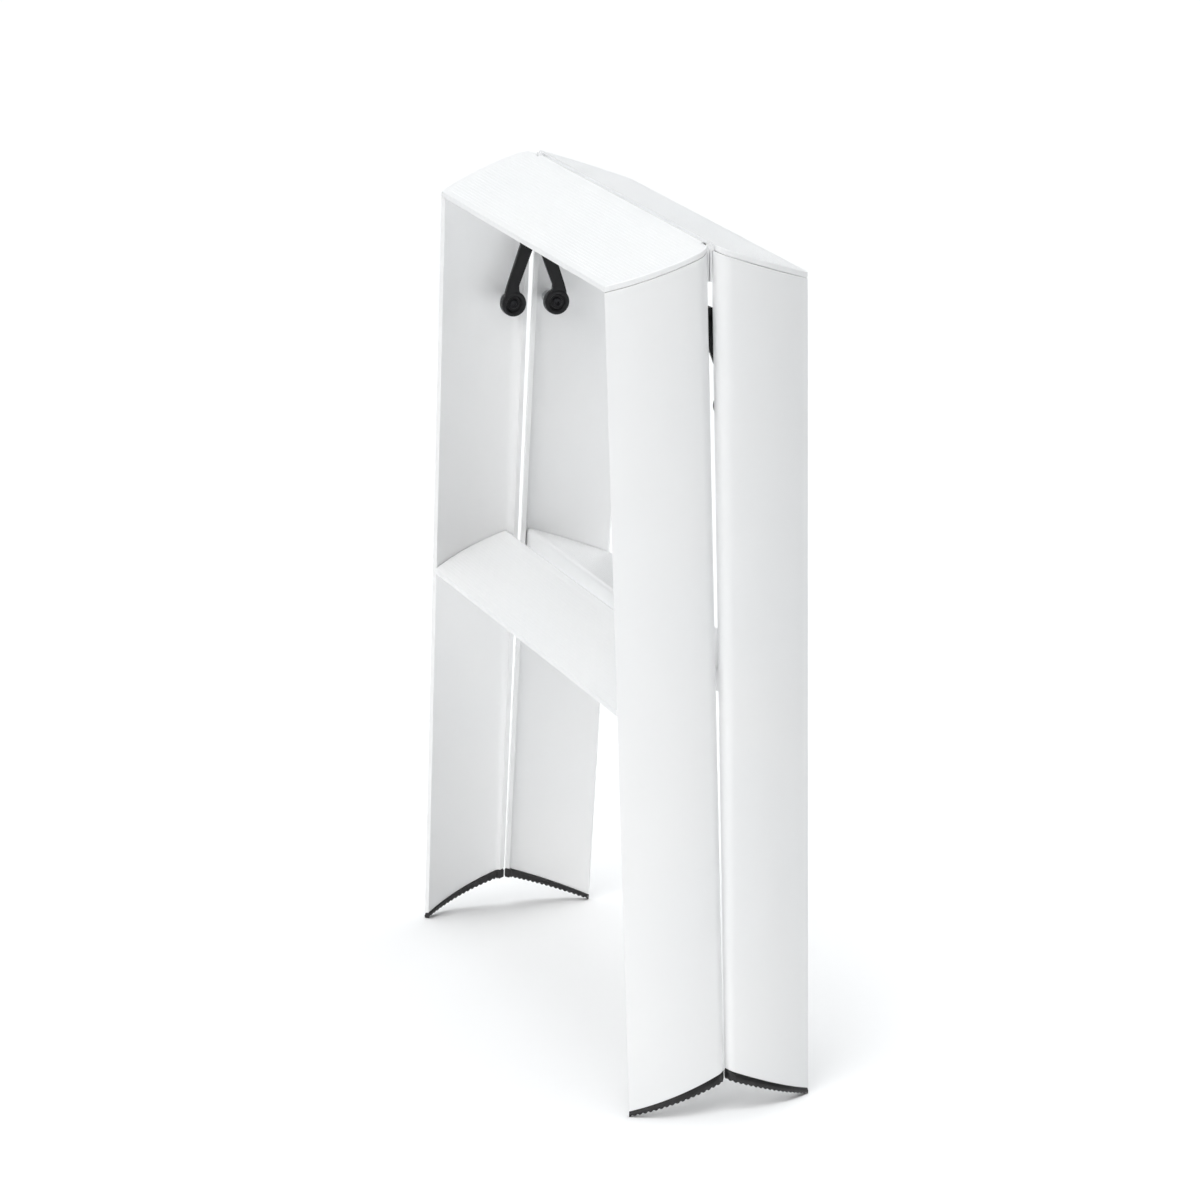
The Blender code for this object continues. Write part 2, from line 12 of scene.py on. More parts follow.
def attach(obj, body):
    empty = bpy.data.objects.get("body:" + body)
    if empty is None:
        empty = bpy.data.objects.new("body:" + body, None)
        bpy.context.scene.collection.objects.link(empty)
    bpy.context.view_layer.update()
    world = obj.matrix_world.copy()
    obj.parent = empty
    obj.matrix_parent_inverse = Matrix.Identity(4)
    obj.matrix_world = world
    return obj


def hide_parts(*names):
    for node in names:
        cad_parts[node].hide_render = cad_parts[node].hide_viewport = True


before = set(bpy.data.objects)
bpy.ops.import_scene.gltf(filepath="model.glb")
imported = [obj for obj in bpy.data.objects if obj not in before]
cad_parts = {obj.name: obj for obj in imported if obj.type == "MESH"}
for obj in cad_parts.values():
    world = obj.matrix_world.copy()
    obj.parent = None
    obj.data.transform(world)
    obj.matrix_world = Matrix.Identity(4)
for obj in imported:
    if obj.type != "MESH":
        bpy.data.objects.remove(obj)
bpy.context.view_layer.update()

# Driving dimensions, folded
HEIGHT = 0.600             # ridge edge of the treads above the floor
TILT = radians(19.0)       # slope of treads, steps and leg ends
SLOPE = tan(TILT)
RIDGE_HALF_WIDTH = 0.1614  # outer leg edges from the middle, at ridge height
FOOT_HALF_WIDTH = 0.2145   # the same on the floor
RIDGE_DEPTH = 0.0742       # outer leg edges from the fold plane, at ridge height
FOOT_DEPTH = 0.0672        # the same on the floor
RIDGE_GAP = 0.0022         # joint edges from the fold plane, at ridge height
FOOT_GAP = 0.0004          # the same on the floor
TREAD_GAP = 0.0036         # ridge edges of the treads from the fold plane
STEP_RISE = 0.3085         # top of the lower step, measured where it meets the joint edge
FIT = 0.0003               # gap left between touching pieces

# Legs
LEG_RADIUS = 0.094         # the legs bulge outwards on this radius
EDGE_TURN = radians(34.0)  # slope of the leg surface at its outer edge
RIDGE_CORNER = 0.0120      # radius of the leg's corner along its joint edge, at the ridge
FOOT_CORNER = 0.0065       # the same on the floor
LEG_PLATE = 0.0036
ARC_STEPS = 40
CORNER_STEPS = 14

# Treads and steps
TREAD_PLATE = 0.0040
STEP_LIP = 0.018           # downturned inner edge of the step
STEP_INNER = 0.0072        # inner edge of the step from the fold plane
STEP_OUTER_DROP = 0.001    # the step stops this far inside the outer leg edges
STEP_CUTS = 26             # facets across the step, from outer to inner edge
STEP_BEND_START = 0.006
STEP_BENDS = (0.0045, 0.0012)  # outside and inside reach of the step's bend
BEND_STEPS = 6

# Soles
SOLE = 0.0038              # rubber thickness under the leg ends, at the outer edge
SOLE_GAIN = 0.054          # the sole thickens towards the joint
FOOT_INNER = 0.0012        # and stands out on its inner face
TEETH = 17
TOOTH = (0.0, 0.0, 0.0003, 0.0009, 0.0009, 0.0003)  # height of the underside along a tooth
SOLE_LEDGE = ((0.0008, -FIT), (0.0005, -0.0005), (0.0005, -0.0011), (0.0003, -0.0014),
              (0.0, -0.0018))  # (inset, lift) from the leg down to the sole's outer face
SOLE_ROOTS = (0.0016, 0.0018)  # where the teeth start, on the outer and inner face
SOLE_INSETS = (0.0003, 0.0012, LEG_PLATE)
SOLE_SHOULDER = (-0.0008, 0.0006)  # lift and inset of the inner face's upper edge

# Anti-slip dots
GRIP_PITCH = 0.0028
GRIP_ROW = 0.866           # distance between rows, in pitches
GRIP_RADIUS = 0.00062
GRIP_HEIGHT = 0.00022
GRIP_SUNK = 0.0001
GRIP_MARGIN = 0.0045       # plain border at both ends of a row
TREAD_GRIP_Y = (0.0085, 0.0700)
STEP_GRIP_Y = (0.0140, 0.0655)

# Hinge along the ridge
PIN_Z = HEIGHT - 0.0037
PIN_HALF = 0.1566
LEAF = 0.0014
HINGE_SCREWS_X = (-0.095, 0.095)
HINGE_SCREWS_Y = 0.0135

# Corner brackets under the treads and steps
BRACKET_PLATE = 0.0028
BRACKET_LEG = 0.018
BRACKET_START, BRACKET_LENGTH, BRACKET_CUTS = 0.026, 0.016, 8
BRACKET_SCREW_Y = 0.034
BRACKET_BENDS = (0.0034, 0.0010)  # outside and inside reach of the bend
LEG_SCREW_DROP = 0.0085    # screws from the inner corner of the bracket
PLATE_SCREW_INSET = 0.0110

# Stay arms
PIVOT_Y = 0.0162
PIVOT_Z = 0.4875
CENTRE_Z = 0.5495          # centre joint of each pair
ARM_PLATE = 0.0034
FRONT_ARM_X = 0.1685       # outboard face of the arms on the front frame
BOSS_RADIUS = 0.0094
BOSS_DEPTH = 0.0029        # the boss stands out past the arm towards the leg
CUP_RADIUS = 0.0058
CUP_DEPTH = 0.0016
EYE_RADIUS = 0.0078
EYE_STEPS = 32
ARM_OFFSET = 0.0044        # the arm runs past its pivot on the outer side
ARM_HALF_WIDTH = 0.0046    # at the pivot
ARM_TOP_WIDTH = 0.0050     # half width at the centre joint
SHOULDER = (0.0205, 0.0170)  # the arm steps wider this far from the centre joint
SHOULDER_WIDTH = 0.0064
BAR_SUNK = 0.0002          # the bar's inboard face lies below the boss's rim

# Outline of the bar round the boss, as (distance, offset): its root, then both edges
ROOT_RADIUS = 0.0072
ROOT_FROM, ROOT_SWEEP, ROOT_STEPS = 80.0, 110.0, 12
BAR_INNER = ((0.0086, -0.0028), (0.0094, -0.0021), (0.0106, -0.0013), (0.0122, -0.0008),
             (0.0143, ARM_OFFSET - ARM_HALF_WIDTH))
BAR_OUTER = ((0.0120, 0.0087), (0.0070, 0.0088), (0.0036, 0.0085))

# Turned parts, as (radius, distance) from the seat; "hex" marks the flats of a socket
SCREW = ((0.0009, -0.0008, "hex"), (0.0009, -0.0019, "hex"), (0.0012, -0.00205),
         (0.0022, -0.0021), (0.0030, -0.0018), (0.0035, -0.0012), (0.0036, -0.0005),
         (0.0036, 0.0), (0.0018, 0.0), (0.0018, 0.0046), (0.0015, 0.0048))
PIN_HEAD = ((0.0012, 0.0012), (0.0019, 0.0011), (0.0024, 0.0007), (0.0025, 0.0))
PIN_RADIUS = 0.0015
BOLT = ((0.0014, 0.0010, "hex"), (0.0014, 0.0001, "hex"), (0.0019, -0.0001), (0.0028, 0.0),
        (0.0034, 0.0003), (0.0036, 0.0007), (0.0036, 0.0013), (0.0028, 0.0013))
BOLT_RADIUS = 0.0028
BOLT_INTO_LEG = 0.0018
BORE_RADIUS = 0.0031       # bore of the bosses and spacers
SPACER_RADIUS = 0.0046
RIVET = ((0.0020, 0.0001), (0.0026, 0.0003), (0.0026, ARM_PLATE))
RIVET_WITH_HEAD = ((0.0018, -0.0012), (0.0034, -0.0011), (0.0044, -0.0008),
                   (0.0048, -0.0003), (0.0026, -0.0003), (0.0026, ARM_PLATE))
ROUND_STEPS = 48
BOSS_STEPS = 64

# Edges
SHARP_ANGLE = radians(38)
BEVEL_ANGLE = radians(32)
BEVEL_SEGMENTS = 3

# Tones, and where the noise that varies them starts and stops
PAINT_TONE, FLOOR_TONE = 0.93, 0.94
NOISE_RANGE = (0.3, 0.7)
RAMP_RANGE = (0.35, 0.65)

# Light: a dome brightest at its zenith, a key from the front and a fill behind
SKY, SKY_HORIZON, SKY_FOCUS = 4.5, 0.03, 8.0
SKY_COLOUR = (0.965, 0.985, 1.0, 1.0)
KEY, KEY_COLOUR = 1.24, (1.0, 0.995, 0.985)
KEY_SPREAD, KEY_AZIMUTH, KEY_RISE = radians(50), radians(55), radians(35)
FILL, FILL_SIZE = 4.6, 1.1
FILL_PLACE = (-0.40, 1.25, 0.80)
FILL_BACK = (-0.40, 1.25, 0.40)  # the fill shines away from this direction
FLOOR_REACH = 8.0

# Camera
LENS, SENSOR, SHIFT = 153.87, 36.0, 0.0011
CLIP = (0.1, 50.0)
CAMERA_CENTRE, CAMERA_DISTANCE = (0.0, 0.0, 0.3), 3.668
CAMERA_AZIMUTH, CAMERA_ELEVATION = radians(68.574), radians(16.337)
CAMERA_PAN, CAMERA_PITCH, CAMERA_ROLL = radians(0.171), radians(-0.088), radians(-0.749)


# Finishes


def new_finish(name, colour, roughness, metallic=0.0):
    material = bpy.data.materials.new(name)
    material.use_nodes = True
    shader = material.node_tree.nodes["Principled BSDF"]
    shader.inputs["Base Color"].default_value = (*colour, 1.0)
    shader.inputs["Roughness"].default_value = roughness
    shader.inputs["Metallic"].default_value = metallic
    return material


def noise(material, scale, detail=3.0, stretch=(1.0, 1.0, 1.0)):
    """Noise in the object's own metres; stretch draws it out along an axis."""
    nodes, links = material.node_tree.nodes, material.node_tree.links
    place = nodes.new("ShaderNodeTexCoord")
    mapping = nodes.new("ShaderNodeMapping")
    mapping.inputs["Scale"].default_value = stretch
    texture = nodes.new("ShaderNodeTexNoise")
    texture.inputs["Scale"].default_value = scale
    texture.inputs["Detail"].default_value = detail
    links.new(place.outputs["Object"], mapping.inputs["Vector"])
    links.new(mapping.outputs["Vector"], texture.inputs["Vector"])
    return texture.outputs["Fac"]


def vary_roughness(material, source, low, high):
    nodes, links = material.node_tree.nodes, material.node_tree.links
    spread = nodes.new("ShaderNodeMapRange")
    spread.inputs["From Min"].default_value = NOISE_RANGE[0]
    spread.inputs["From Max"].default_value = NOISE_RANGE[1]
    spread.inputs["To Min"].default_value = low
    spread.inputs["To Max"].default_value = high
    links.new(source, spread.inputs["Value"])
    links.new(spread.outputs["Result"], nodes["Principled BSDF"].inputs["Roughness"])


def vary_colour(material, source, first, second):
    nodes, links = material.node_tree.nodes, material.node_tree.links
    ramp = nodes.new("ShaderNodeValToRGB")
    for stop, place, colour in zip(ramp.color_ramp.elements, RAMP_RANGE, (first, second)):
        stop.position = place
        stop.color = (*colour, 1.0)
    links.new(source, ramp.inputs["Fac"])
    links.new(ramp.outputs["Color"], nodes["Principled BSDF"].inputs["Base Color"])


def add_bump(material, source, strength, distance):
    nodes, links = material.node_tree.nodes, material.node_tree.links
    bump = nodes.new("ShaderNodeBump")
    bump.inputs["Strength"].default_value = strength
    bump.inputs["Distance"].default_value = distance
    links.new(source, bump.inputs["Height"])
    links.new(bump.outputs["Normal"], nodes["Principled BSDF"].inputs["Normal"])


def make_white_paint():
    """Smooth powder coat: faint orange peel and a slow drift in gloss and tone."""
    tone = PAINT_TONE
    paint = new_finish("white_powder_coat", (tone, tone, tone), 0.32)
    vary_colour(paint, noise(paint, 9.0, 2.0), (tone - 0.006, tone - 0.001, tone + 0.004),
                (tone + 0.006, tone + 0.007, tone + 0.008))
    vary_roughness(paint, noise(paint, 34.0, 4.0), 0.30, 0.38)
    add_bump(paint, noise(paint, 420.0, 1.0), 0.05, 0.0003)
    return paint


def make_black_nylon():
    """Moulded nylon with a fine spark-eroded grain."""
    nylon = new_finish("black_moulded_nylon", (0.007, 0.007, 0.008), 0.32)
    nylon.node_tree.nodes["Principled BSDF"].inputs["Specular IOR Level"].default_value = 0.28
    vary_colour(nylon, noise(nylon, 60.0, 3.0), (0.005, 0.005, 0.006), (0.010, 0.010, 0.011))
    vary_roughness(nylon, noise(nylon, 240.0, 3.0), 0.29, 0.36)
    add_bump(nylon, noise(nylon, 2600.0, 2.0), 0.22, 0.0002)
    return nylon


def make_black_rubber():
    rubber = new_finish("black_rubber", (0.014, 0.0135, 0.014), 0.45)
    vary_colour(rubber, noise(rubber, 120.0, 4.0), (0.010, 0.0098, 0.010), (0.019, 0.018, 0.019))
    vary_roughness(rubber, noise(rubber, 300.0, 3.0), 0.36, 0.54)
    add_bump(rubber, noise(rubber, 1500.0, 3.0), 0.30, 0.0003)
    return rubber


def make_bare_aluminium():
    """Mill finish with fine lines drawn across it."""
    bare = new_finish("mill_aluminium", (0.66, 0.67, 0.68), 0.38, 1.0)
    lines = noise(bare, 900.0, 3.0, (0.04, 1.0, 1.0))
    vary_colour(bare, noise(bare, 40.0, 3.0), (0.62, 0.63, 0.64), (0.72, 0.73, 0.74))
    vary_roughness(bare, lines, 0.31, 0.48)
    add_bump(bare, lines, 0.12, 0.0002)
    return bare


def make_steel():
    steel = new_finish("blackened_steel", (0.030, 0.030, 0.032), 0.30, 1.0)
    vary_colour(steel, noise(steel, 300.0, 4.0), (0.020, 0.020, 0.022), (0.040, 0.040, 0.043))
    vary_roughness(steel, noise(steel, 700.0, 4.0), 0.29, 0.42)
    add_bump(steel, noise(steel, 2200.0, 2.0), 0.15, 0.0001)
    return steel


FINISHES = {"white_paint": make_white_paint(), "black_nylon": make_black_nylon(),
            "black_rubber": make_black_rubber(), "bare_aluminium": make_bare_aluminium(),
            "steel": make_steel()}


# Pieces


def add_piece(name, points, faces, body, slot, bevel=0.0, replaces=None):
    """A closed smooth mesh that rides on a body and stands for its CAD node."""
    mesh = bpy.data.meshes.new(name)
    mesh.from_pydata([tuple(point) for point in points], [], faces)
    mesh.validate()
    outward(mesh)
    mesh.shade_smooth()
    if not bevel:
        mesh.set_sharp_from_angle(angle=SHARP_ANGLE)
    mesh.materials.append(FINISHES[slot])
    piece = bpy.data.objects.new(name, mesh)
    bpy.context.scene.collection.objects.link(piece)
    if bevel:
        rounding = piece.modifiers.new("rounding", "BEVEL")
        rounding.width = bevel
        rounding.segments = BEVEL_SEGMENTS
        rounding.limit_method = "ANGLE"
        rounding.angle_limit = BEVEL_ANGLE
        rounding.harden_normals = True
    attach(piece, body)
    if replaces is not None:
        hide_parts(*replaces)
    return piece


def outward(mesh):
    """Turn every face to point out of its closed body."""
    builder = bmesh.new()
    builder.from_mesh(mesh)
    bmesh.ops.recalc_face_normals(builder, faces=builder.faces)
    builder.to_mesh(mesh)
    builder.free()


def skin(loops, closed_ends=True):
    """A closed body through loops of points, each loop running round its section."""
    size = len(loops[0])
    points = [point for loop in loops for point in loop]
    faces = []
    for at in range(len(loops) - 1):
        low, high = at * size, (at + 1) * size
        for index in range(size):
            after = (index + 1) % size
            faces.append((low + index, low + after, high + after, high + index))
    if closed_ends:
        last = (len(loops) - 1) * size
        faces.append(tuple(range(size)))
        faces.append(tuple(last + index for index in reversed(range(size))))
    return points, faces


def prism(outline, x_from, x_to):
    return skin([[(x, y, z) for y, z in outline] for x in (x_from, x_to)])


def round_body(profile, base, axis, steps=ROUND_STEPS):
    """A turned body.  A ring marked "hex" has flats, for a socket."""
    axis = Vector(axis).normalized()
    across = axis.orthogonal().normalized()
    other = axis.cross(across)
    base = Vector(base)
    loops = []
    for ring in profile:
        radius, distance = ring[0], ring[1]
        loop = []
        for index in range(steps):
            turn = 2 * pi * index / steps
            reach = radius
            if len(ring) > 2:
                reach = radius / cos((turn % (pi / 3)) - pi / 6)
            spoke = across * cos(turn) + other * sin(turn)
            loop.append(base + axis * distance + spoke * reach)
        loops.append(loop)
    return skin(loops)


def bend(before, corner, after, reach):
    """A corner rounded off over reach, in a plane or in space."""
    corner = Vector(corner)
    back = (Vector(before) - corner).normalized() * reach
    ahead = (Vector(after) - corner).normalized() * reach
    points = []
    for step in range(BEND_STEPS + 1):
        along = step / BEND_STEPS
        first = corner + back * (1 - along)
        second = corner + ahead * along
        points.append(tuple(first * (1 - along) + second * along))
    return points


def fillet(profile, corners):
    """Round the listed corners of an open outline of (a, b) points."""
    smooth = []
    for index, point in enumerate(profile):
        if index not in corners:
            smooth.append(point)
            continue
        after = profile[(index + 1) % len(profile)]
        smooth += bend(profile[index - 1], point, after, corners[index])
    return smooth


# The leg surface, which the other pieces of a frame follow


def leg_arc(level, inset):
    """Centre and radius of the leg's curve; level runs from 0 on the floor to 1 at the ridge."""
    half_width = FOOT_HALF_WIDTH + (RIDGE_HALF_WIDTH - FOOT_HALF_WIDTH) * level
    depth = FOOT_DEPTH + (RIDGE_DEPTH - FOOT_DEPTH) * level
    centre_x = half_width - LEG_RADIUS * cos(EDGE_TURN)
    centre_y = depth - LEG_RADIUS * sin(EDGE_TURN)
    return centre_x, centre_y, LEG_RADIUS - inset


def joint_corner(level):
    """Centre, radius and starting turn of the leg's corner along the joint."""
    centre_x, centre_y, radius = leg_arc(level, 0.0)
    gap = FOOT_GAP + (RIDGE_GAP - FOOT_GAP) * level
    small = FOOT_CORNER + (RIDGE_CORNER - FOOT_CORNER) * level
    reach = radius - small
    turn = asin((gap + small - centre_y) / reach)
    return centre_x + reach * cos(turn), centre_y + reach * sin(turn), small, turn


def contour(level, inset, arc_steps=ARC_STEPS):
    """Section of the leg surface from its outer edge to the joint."""
    centre_x, centre_y, radius = leg_arc(level, inset)
    corner_x, corner_y, small, corner_turn = joint_corner(level)
    points = []
    for step in range(arc_steps + 1):
        turn = EDGE_TURN + (corner_turn - EDGE_TURN) * step / arc_steps
        points.append((centre_x + radius * cos(turn), centre_y + radius * sin(turn)))
    for step in range(1, CORNER_STEPS + 1):
        turn = corner_turn + (-pi / 2 - corner_turn) * step / CORNER_STEPS
        points.append((corner_x + (small - inset) * cos(turn),
                       corner_y + (small - inset) * sin(turn)))
    return points


def leg_x(y, z, inset):
    """How far from the middle the leg surface lies, inset from its outer face."""
    level = z / HEIGHT
    centre_x, centre_y, radius = leg_arc(level, inset)
    corner_x, corner_y, small, _ = joint_corner(level)
    if y >= corner_y:
        return centre_x + sqrt(radius ** 2 - (y - centre_y) ** 2)
    return corner_x + sqrt(max((small - inset) ** 2 - (y - corner_y) ** 2, 0.0))


def slope_z(height, y):
    """Height at y of a folded plate that is this high at its ridge edge."""
    return height - (y - TREAD_GAP) * SLOPE


def cut_by_slope(inset, heights, arc_steps=ARC_STEPS):
    """The leg surface's section where sloped planes of these heights cut it."""
    points = []
    low, high = contour(0.0, inset, arc_steps), contour(1.0, inset, arc_steps)
    for (x0, y0), (x1, y1), height in zip(low, high, heights):
        level = slope_z(height, y0) / (HEIGHT + (y1 - y0) * SLOPE)
        points.append((x0 + (x1 - x0) * level, y0 + (y1 - y0) * level, HEIGHT * level))
    return points


def level_cut(inset, height):
    return cut_by_slope(inset, [height] * (ARC_STEPS + CORNER_STEPS + 1))


def mirrored(points, side, end):
    return [(x * side, y * end, z) for x, y, z in points]


FLOOR_HEIGHT = (FOOT_DEPTH - TREAD_GAP) * SLOPE
LEG_BOTTOM = FLOOR_HEIGHT + SOLE / cos(TILT)
TREAD_UNDERSIDE = HEIGHT - TREAD_PLATE / cos(TILT)
STEP_UNDERSIDE = STEP_RISE - TREAD_PLATE / cos(TILT)


def plate_normal(end):
    return Vector((0.0, sin(TILT) * end, cos(TILT)))


def add_tread(node, end, body):
    loops = []
    for height in (HEIGHT, TREAD_UNDERSIDE):
        row = [point for point in level_cut(0.0, height) if point[1] > TREAD_GAP + FIT]
        row.append((leg_x(TREAD_GAP, height, 0.0), TREAD_GAP, height))
        loops.append(mirrored(row, 1, end) + mirrored(row[::-1], -1, end))
    add_piece(node + "_plate", *skin(loops), body, "white_paint", 0.0007, [node])


def leg_end(inset, lift, arc_steps=ARC_STEPS):
    """The end of a leg, cut steeper than the floor so that the sole thickens inwards."""
    heights = [LEG_BOTTOM + lift + (FOOT_DEPTH - y) * SOLE_GAIN
               for _, y in contour(0.0, inset, arc_steps)]
    return cut_by_slope(inset, heights, arc_steps)


def add_leg(node, side, end, body):
    top = TREAD_UNDERSIDE - FIT
    low = leg_end(0.0, 0.0) + leg_end(LEG_PLATE, 0.0)[::-1]
    high = level_cut(0.0, top) + level_cut(LEG_PLATE, top)[::-1]
    loops = [mirrored(low, side, end), mirrored(high, side, end)]
    add_piece(node + "_plate", *skin(loops), body, "white_paint", 0.0008, [node])


def add_foot(node, side, end, body):
    """Rubber sole: a ledge below its upper edge and teeth across its underside."""
    arc_steps = len(TOOTH) * TEETH
    count = arc_steps + CORNER_STEPS + 1
    sole = [FLOOR_HEIGHT + TOOTH[index % len(TOOTH)] for index in range(count)]
    outer_root, inner_root = ([FLOOR_HEIGHT + root] * count for root in SOLE_ROOTS)
    inner = LEG_PLATE + FOOT_INNER
    lift, inset = SOLE_SHOULDER
    strips = [leg_end(*edge, arc_steps) for edge in SOLE_LEDGE]
    strips.append(cut_by_slope(0.0, outer_root, arc_steps))
    strips += [cut_by_slope(depth, sole, arc_steps) for depth in SOLE_INSETS]
    strips.append(cut_by_slope(inner, inner_root, arc_steps))
    strips += [leg_end(inner, lift, arc_steps), leg_end(inner - inset, -FIT, arc_steps)]
    loops = [mirrored([strip[at] for strip in strips], side, end) for at in range(count)]
    add_piece(node + "_sole", *skin(loops), body, "black_rubber", 0.0, [node])


def step_profile(inner, height, reach):
    outer = FOOT_DEPTH + (RIDGE_DEPTH - FOOT_DEPTH) * STEP_RISE / HEIGHT - STEP_OUTER_DROP
    start = inner + STEP_BEND_START
    rows = [outer + (start - outer) * cut / STEP_CUTS for cut in range(STEP_CUTS + 1)]
    profile = [(y, slope_z(height, y)) for y in rows]
    lip_foot = slope_z(STEP_RISE, STEP_INNER) - STEP_LIP
    profile += [(inner, slope_z(height, inner)), (inner, lip_foot)]
    return fillet(profile, {STEP_CUTS + 1: reach})


def add_step(node, end, body):
    """Lower step, its inner edge bent down with a round bend."""
    rows = []
    for inner, height, reach in ((STEP_INNER, STEP_RISE, STEP_BENDS[0]),
                                 (STEP_INNER + TREAD_PLATE, STEP_UNDERSIDE, STEP_BENDS[1])):
        profile = step_profile(inner, height, reach)
        rows.append([(leg_x(y, z, LEG_PLATE + FIT), y, z) for y, z in profile])
    section = rows[0] + rows[1][::-1]
    loops = [mirrored(section, side, end) for side in (-1, 1)]
    add_piece(node + "_plate", *skin(loops), body, "white_paint", 0.0006, [node])


def grip_dot(centre, normal, across, along):
    """A low dome with six sides, its foot sunk in the plate."""
    loops = []
    for radius, height in ((GRIP_RADIUS, -GRIP_SUNK), (GRIP_RADIUS * 0.92, GRIP_HEIGHT * 0.5),
                           (GRIP_RADIUS * 0.5, GRIP_HEIGHT)):
        loop = []
        for index in range(6):
            turn = pi * index / 3
            spoke = across * cos(turn) + along * sin(turn)
            loop.append(centre + normal * height + spoke * radius)
        loops.append(loop)
    return skin(loops)


def add_grip(name, end, height, near, far, inset, body):
    """Anti-slip dots in staggered rows over a tread or step."""
    normal = plate_normal(end)
    across = Vector((1.0, 0.0, 0.0))
    along = normal.cross(across)
    points, faces = [], []
    rows = int((far - near) / (GRIP_PITCH * GRIP_ROW))
    for row in range(rows + 1):
        y = near + row * GRIP_PITCH * GRIP_ROW
        z = slope_z(height, y)
        reach = leg_x(y, z, inset) - GRIP_MARGIN
        count = int(reach / GRIP_PITCH)
        shift = GRIP_PITCH / 2 if row % 2 else 0.0
        for column in range(-count, count + 1):
            x = column * GRIP_PITCH + shift
            if abs(x) > reach:
                continue
            dot_points, dot_faces = grip_dot(Vector((x, y * end, z)), normal, across, along)
            start = len(points)
            points += dot_points
            faces += [tuple(start + index for index in face) for face in dot_faces]
    add_piece(name, points, faces, body, "white_paint")


# Brackets, screws and hinge


def add_screw(node, seat, axis, body):
    """Pan-head screw with a hexagon socket."""
    add_piece(node + "_body", *round_body(SCREW, seat, axis), body, "steel", 0.0, [node])


def leg_normal(y, side, end):
    centre_y, radius = leg_arc(0.5, 0.0)[1:]
    turn = asin((y - centre_y) / radius)
    splay = atan2(FOOT_HALF_WIDTH - RIDGE_HALF_WIDTH, HEIGHT)
    return Vector((cos(turn) * cos(splay) * side, sin(turn) * cos(splay) * end, sin(splay)))


def bracket_section(y, height, thickness):
    roof = slope_z(height, y) - FIT - thickness
    foot = slope_z(height, y) - BRACKET_LEG
    inset = LEG_PLATE + FIT + thickness
    tip = leg_x(y, roof, LEG_PLATE) - BRACKET_LEG
    return [(leg_x(y, foot, inset), y, foot), (leg_x(y, roof, inset), y, roof), (tip, y, roof)]


def add_bracket(node, side, end, height, body):
    loops = []
    for step in range(BRACKET_CUTS + 1):
        y = BRACKET_START + BRACKET_LENGTH * step / BRACKET_CUTS
        outside, inside = (
            fillet(bracket_section(y, height, thickness), {1: reach})
            for thickness, reach in zip((0.0, BRACKET_PLATE), BRACKET_BENDS))
        loops.append(mirrored(outside + inside[::-1], side, end))
    add_piece(node + "_plate", *skin(loops), body, "bare_aluminium", 0.0004, [node])
    middle = BRACKET_SCREW_Y
    roof = slope_z(height, middle) - FIT - BRACKET_PLATE
    low = roof - LEG_SCREW_DROP
    outwards = leg_normal(middle, side, end)
    wall = leg_x(middle, low, LEG_PLATE + FIT + BRACKET_PLATE)
    seat = Vector((wall * side, middle * end, low)) - outwards * FIT
    add_screw(node + "_leg_screw", seat, outwards, body)
    roof_x = leg_x(middle, roof, LEG_PLATE) - PLATE_SCREW_INSET
    seat = Vector((roof_x * side, middle * end, roof)) - plate_normal(end) * FIT
    add_screw(node + "_plate_screw", seat, plate_normal(end), body)


def add_hinge(place, end, body):
    """The leaf keeps its solid; its two screws are made fine."""
    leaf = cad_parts[place + "_hinge_leaf"]
    leaf.data.materials.clear()
    leaf.data.materials.append(FINISHES["white_paint"])
    under = slope_z(TREAD_UNDERSIDE - FIT - LEAF / cos(TILT), HINGE_SCREWS_Y)
    for number, x in enumerate(HINGE_SCREWS_X, 1):
        seat = Vector((x, HINGE_SCREWS_Y * end, under)) - plate_normal(end) * FIT
        add_screw(f"{place}_hinge_leaf_screw_{number}", seat, plate_normal(end), body)


def add_hinge_pin(body):
    far = 2 * PIN_HALF
    profile = [(radius, -proud) for radius, proud in PIN_HEAD]
    profile += [(PIN_RADIUS, 0.0), (PIN_RADIUS, far)]
    profile += [(radius, far + proud) for radius, proud in PIN_HEAD[::-1]]
    points, faces = round_body(profile, (-PIN_HALF, 0.0, PIN_Z), (1, 0, 0))
    add_piece("hinge_pin_rod", points, faces, body, "steel", 0.0, ["hinge_pin"])


# Stay arms


def bar_outline(end):
    """The arm's flat bar, from inside its boss ring to the centre joint."""
    lift = CENTRE_Z - PIVOT_Z
    length = sqrt(lift ** 2 + PIVOT_Y ** 2)
    along = Vector((-PIVOT_Y, lift)) / length
    outwards = Vector((along.y, -along.x))
    points = []
    for step in range(ROOT_STEPS + 1):
        turn = radians(ROOT_FROM - ROOT_SWEEP * step / ROOT_STEPS)
        points.append((ROOT_RADIUS * cos(turn), ROOT_RADIUS * sin(turn)))
    points += BAR_INNER
    lean = ARM_OFFSET * SHOULDER[0] / length
    points.append((length - SHOULDER[0], lean - ARM_TOP_WIDTH))
    points.append((length - SHOULDER[1], lean - SHOULDER_WIDTH))
    opening = asin(SHOULDER_WIDTH / EYE_RADIUS)
    for step in range(EYE_STEPS + 1):
        turn = opening - pi + 2 * (pi - opening) * step / EYE_STEPS
        points.append((length + EYE_RADIUS * cos(turn), EYE_RADIUS * sin(turn)))
    points.append((length - SHOULDER[1], lean + SHOULDER_WIDTH))
    points.append((length - SHOULDER[0], lean + ARM_TOP_WIDTH))
    points += BAR_OUTER
    outline = []
    for distance, offset in points:
        spot = Vector((PIVOT_Y, PIVOT_Z)) + along * distance + outwards * offset
        outline.append((spot.x * end, spot.y))
    return outline


